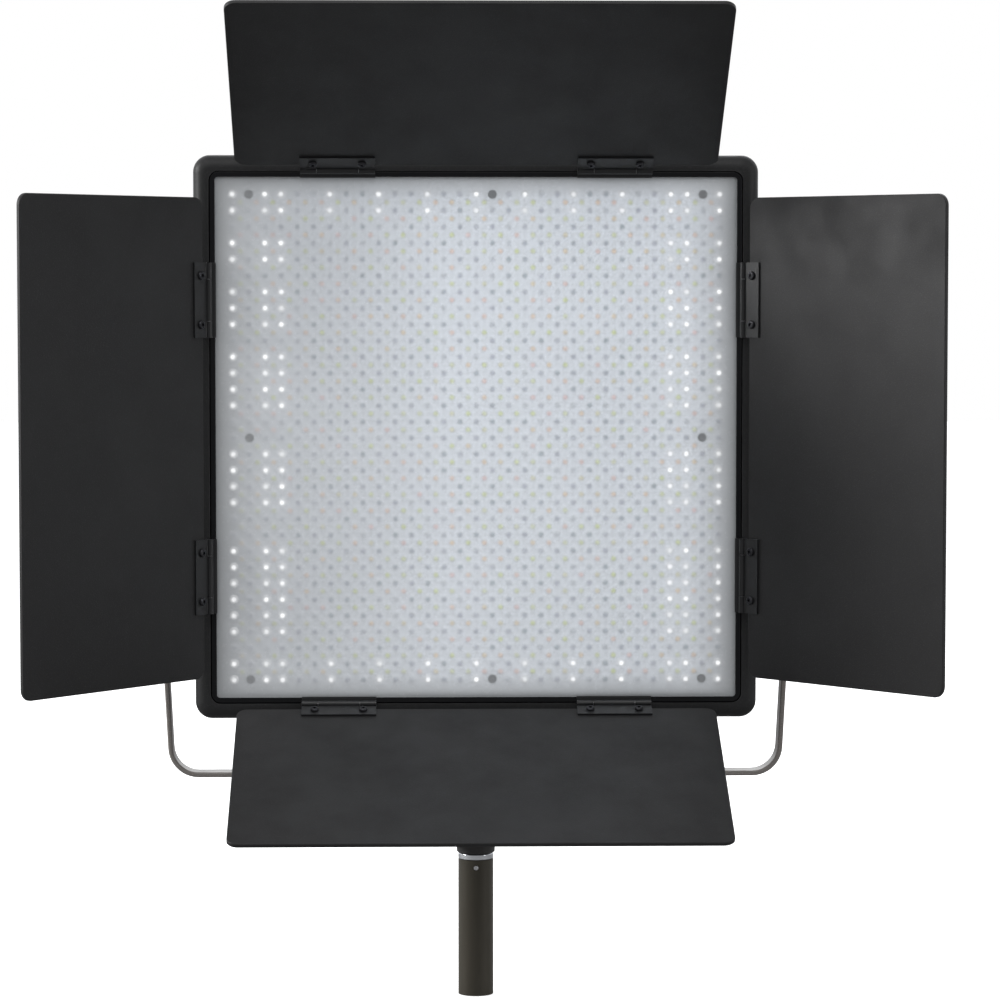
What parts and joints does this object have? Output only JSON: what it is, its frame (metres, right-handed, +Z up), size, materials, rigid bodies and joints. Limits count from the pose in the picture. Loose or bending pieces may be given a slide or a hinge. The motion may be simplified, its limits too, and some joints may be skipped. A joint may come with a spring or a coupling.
{
  "type": "led panel light",
  "caption": "Square LED panel light with fold-out barn doors on all sides, a tilting flat-bar yoke and a swivel stand receiver on a short riser tube.",
  "frame": {"origin": "centre of the riser tube's lower end", "axes": "+Z up along the riser, the lamp shines towards -Y, +X to the right as seen from the front"},
  "size_m": [0.5406, 0.2215, 0.6089],
  "materials": {
    "housing_paint": "fine black powder coat",
    "door_paint": "fine textured black powder coat",
    "yoke_paint": "satin grey paint",
    "hinge_steel": "black oxide steel",
    "black_screw": "black oxide",
    "steel": "zinc plated",
    "chrome_ring": "polished",
    "riser_paint": "dark satin anodised tube",
    "receiver_plastic": "moulded, fine grain",
    "knob_plastic": "moulded",
    "end_plug_plastic": "moulded",
    "washer_plastic": "moulded friction washer",
    "boss_aluminium": "dark anodised",
    "clear_lens": "lightly frosted acrylic",
    "frame_gloss": "glossy black",
    "gasket_rubber": "pale foam rubber",
    "board_white": "white solder mask on an aluminium core",
    "sink_aluminium": "plain",
    "circuit_green": "glass-fibre circuit board",
    "component_black": "moulded",
    "panel_paint": "black satin",
    "display_clear": "tinted",
    "rocker_red": "gloss",
    "brass_contact": "plated",
    "plate_plastic": "glass-filled nylon",
    "catch_plastic": "moulded"
  },
  "bodies": {
    "riser": {"riser_tube": "riser_paint", "riser_spigot": "steel", "shoulder_ring": "chrome_ring", "riser_cross_pin": "steel", "tube_end_plug": "end_plug_plastic"},
    "yoke": {"stand_receiver": "receiver_plastic", "yoke_bar": "yoke_paint", "receiver_bolts": "black_screw", "pivot_washers": "washer_plastic"},
    "lock_knob": {"lock_knob": "knob_plastic", "lock_screw": "steel"},
    "tilt_knob_left": {"tilt_knob_left": "knob_plastic", "tilt_stud_left": "steel"},
    "tilt_knob_right": {"tilt_knob_right": "knob_plastic", "tilt_stud_right": "steel"},
    "head": {"front_bezel": "housing_paint", "rear_shell": "housing_paint", "tilt_bosses": "boss_aluminium", "case_screws": "black_screw", "lens_frame": "frame_gloss", "lens_sheet": "clear_lens", "lens_gasket": "gasket_rubber", "led_board": "board_white", "board_screws": "black_screw", "heat_sink": "sink_aluminium", "driver_board": "circuit_green", "driver_components": "component_black", "driver_screws": "black_screw", "control_plate": "panel_paint", "display_window": "display_clear", "control_board": "circuit_green", "dial_encoders": "component_black", "button_switches": "component_black", "rocker_housing": "knob_plastic", "dc_socket": "steel", "dc_socket_pin": "brass_contact", "rear_screws": "black_screw", "battery_plate": "plate_plastic", "contact_block": "component_black", "battery_contacts": "brass_contact", "hinge_frame_leaves": "hinge_steel", "hinge_pins": "steel"},
    "brightness_knob": {"brightness_knob": "knob_plastic"},
    "colour_knob": {"colour_knob": "knob_plastic"},
    "menu_button": {"menu_button": "knob_plastic"},
    "mode_button": {"mode_button": "knob_plastic"},
    "power_rocker": {"power_rocker": "rocker_red"},
    "battery_catch": {"battery_catch": "catch_plastic"},
    "door_left": {"door_left_sheet": "door_paint", "door_left_hinge_leaves": "hinge_steel", "door_left_screws": "black_screw"},
    "door_right": {"door_right_sheet": "door_paint", "door_right_hinge_leaves": "hinge_steel", "door_right_screws": "black_screw"},
    "door_top": {"door_top_sheet": "door_paint", "door_top_hinge_leaves": "hinge_steel", "door_top_screws": "black_screw"},
    "door_bottom": {"door_bottom_sheet": "door_paint", "door_bottom_hinge_leaves": "hinge_steel", "door_bottom_screws": "black_screw"}
  },
  "joints": [
    {"name": "pan", "type": "hinge", "parent": "riser", "child": "yoke", "pos_m": [0, 0, 0.0898], "axis": [0, 0, 1], "continuous": true},
    {"name": "riser_lock", "type": "hinge", "parent": "yoke", "child": "lock_knob", "pos_m": [0, 0.03, 0.1078], "axis": [0, 1, 0], "continuous": true},
    {"name": "tilt", "type": "hinge", "parent": "yoke", "child": "head", "pos_m": [0, 0, 0.351], "axis": [-1, 0, 0], "range_deg": [-15, 90]},
    {"name": "tilt_lock_left", "type": "hinge", "parent": "head", "child": "tilt_knob_left", "pos_m": [-0.21, 0, 0.351], "axis": [-1, 0, 0], "continuous": true},
    {"name": "tilt_lock_right", "type": "hinge", "parent": "head", "child": "tilt_knob_right", "pos_m": [0.21, 0, 0.351], "axis": [1, 0, 0], "continuous": true},
    {"name": "door_left_hinge", "type": "hinge", "parent": "head", "child": "door_left", "pos_m": [-0.164, -0.0318, 0.351], "axis": [0, 0, -1], "range_deg": [-129, 51]},
    {"name": "door_right_hinge", "type": "hinge", "parent": "head", "child": "door_right", "pos_m": [0.164, -0.0318, 0.351], "axis": [0, 0, 1], "range_deg": [-131.4, 48.6]},
    {"name": "door_top_hinge", "type": "hinge", "parent": "head", "child": "door_top", "pos_m": [0, -0.0318, 0.515], "axis": [-1, 0, 0], "range_deg": [-109.5, 55.5]},
    {"name": "door_bottom_hinge", "type": "hinge", "parent": "head", "child": "door_bottom", "pos_m": [0, -0.0318, 0.187], "axis": [1, 0, 0], "range_deg": [-98, 67]},
    {"name": "brightness_turn", "type": "hinge", "parent": "head", "child": "brightness_knob", "pos_m": [-0.038, 0.03, 0.255], "axis": [0, -1, 0], "range_deg": [-135, 135]},
    {"name": "colour_turn", "type": "hinge", "parent": "head", "child": "colour_knob", "pos_m": [-0.078, 0.03, 0.255], "axis": [0, -1, 0], "range_deg": [-135, 135]},
    {"name": "menu_press", "type": "slide", "parent": "head", "child": "menu_button", "axis": [0, -1, 0], "range_m": [0, 0.0012], "stiffness_N_per_m": 400, "springref_m": -0.0004},
    {"name": "mode_press", "type": "slide", "parent": "head", "child": "mode_button", "axis": [0, -1, 0], "range_m": [0, 0.0012], "stiffness_N_per_m": 400, "springref_m": -0.0004},
    {"name": "power_switch", "type": "hinge", "parent": "head", "child": "power_rocker", "pos_m": [0.066, 0.026, 0.255], "axis": [-1, 0, 0], "range_deg": [0, 16]},
    {"name": "battery_release", "type": "slide", "parent": "head", "child": "battery_catch", "axis": [0, -1, 0], "range_m": [0, 0.003], "stiffness_N_per_m": 500, "springref_m": -0.001}
  ]
}
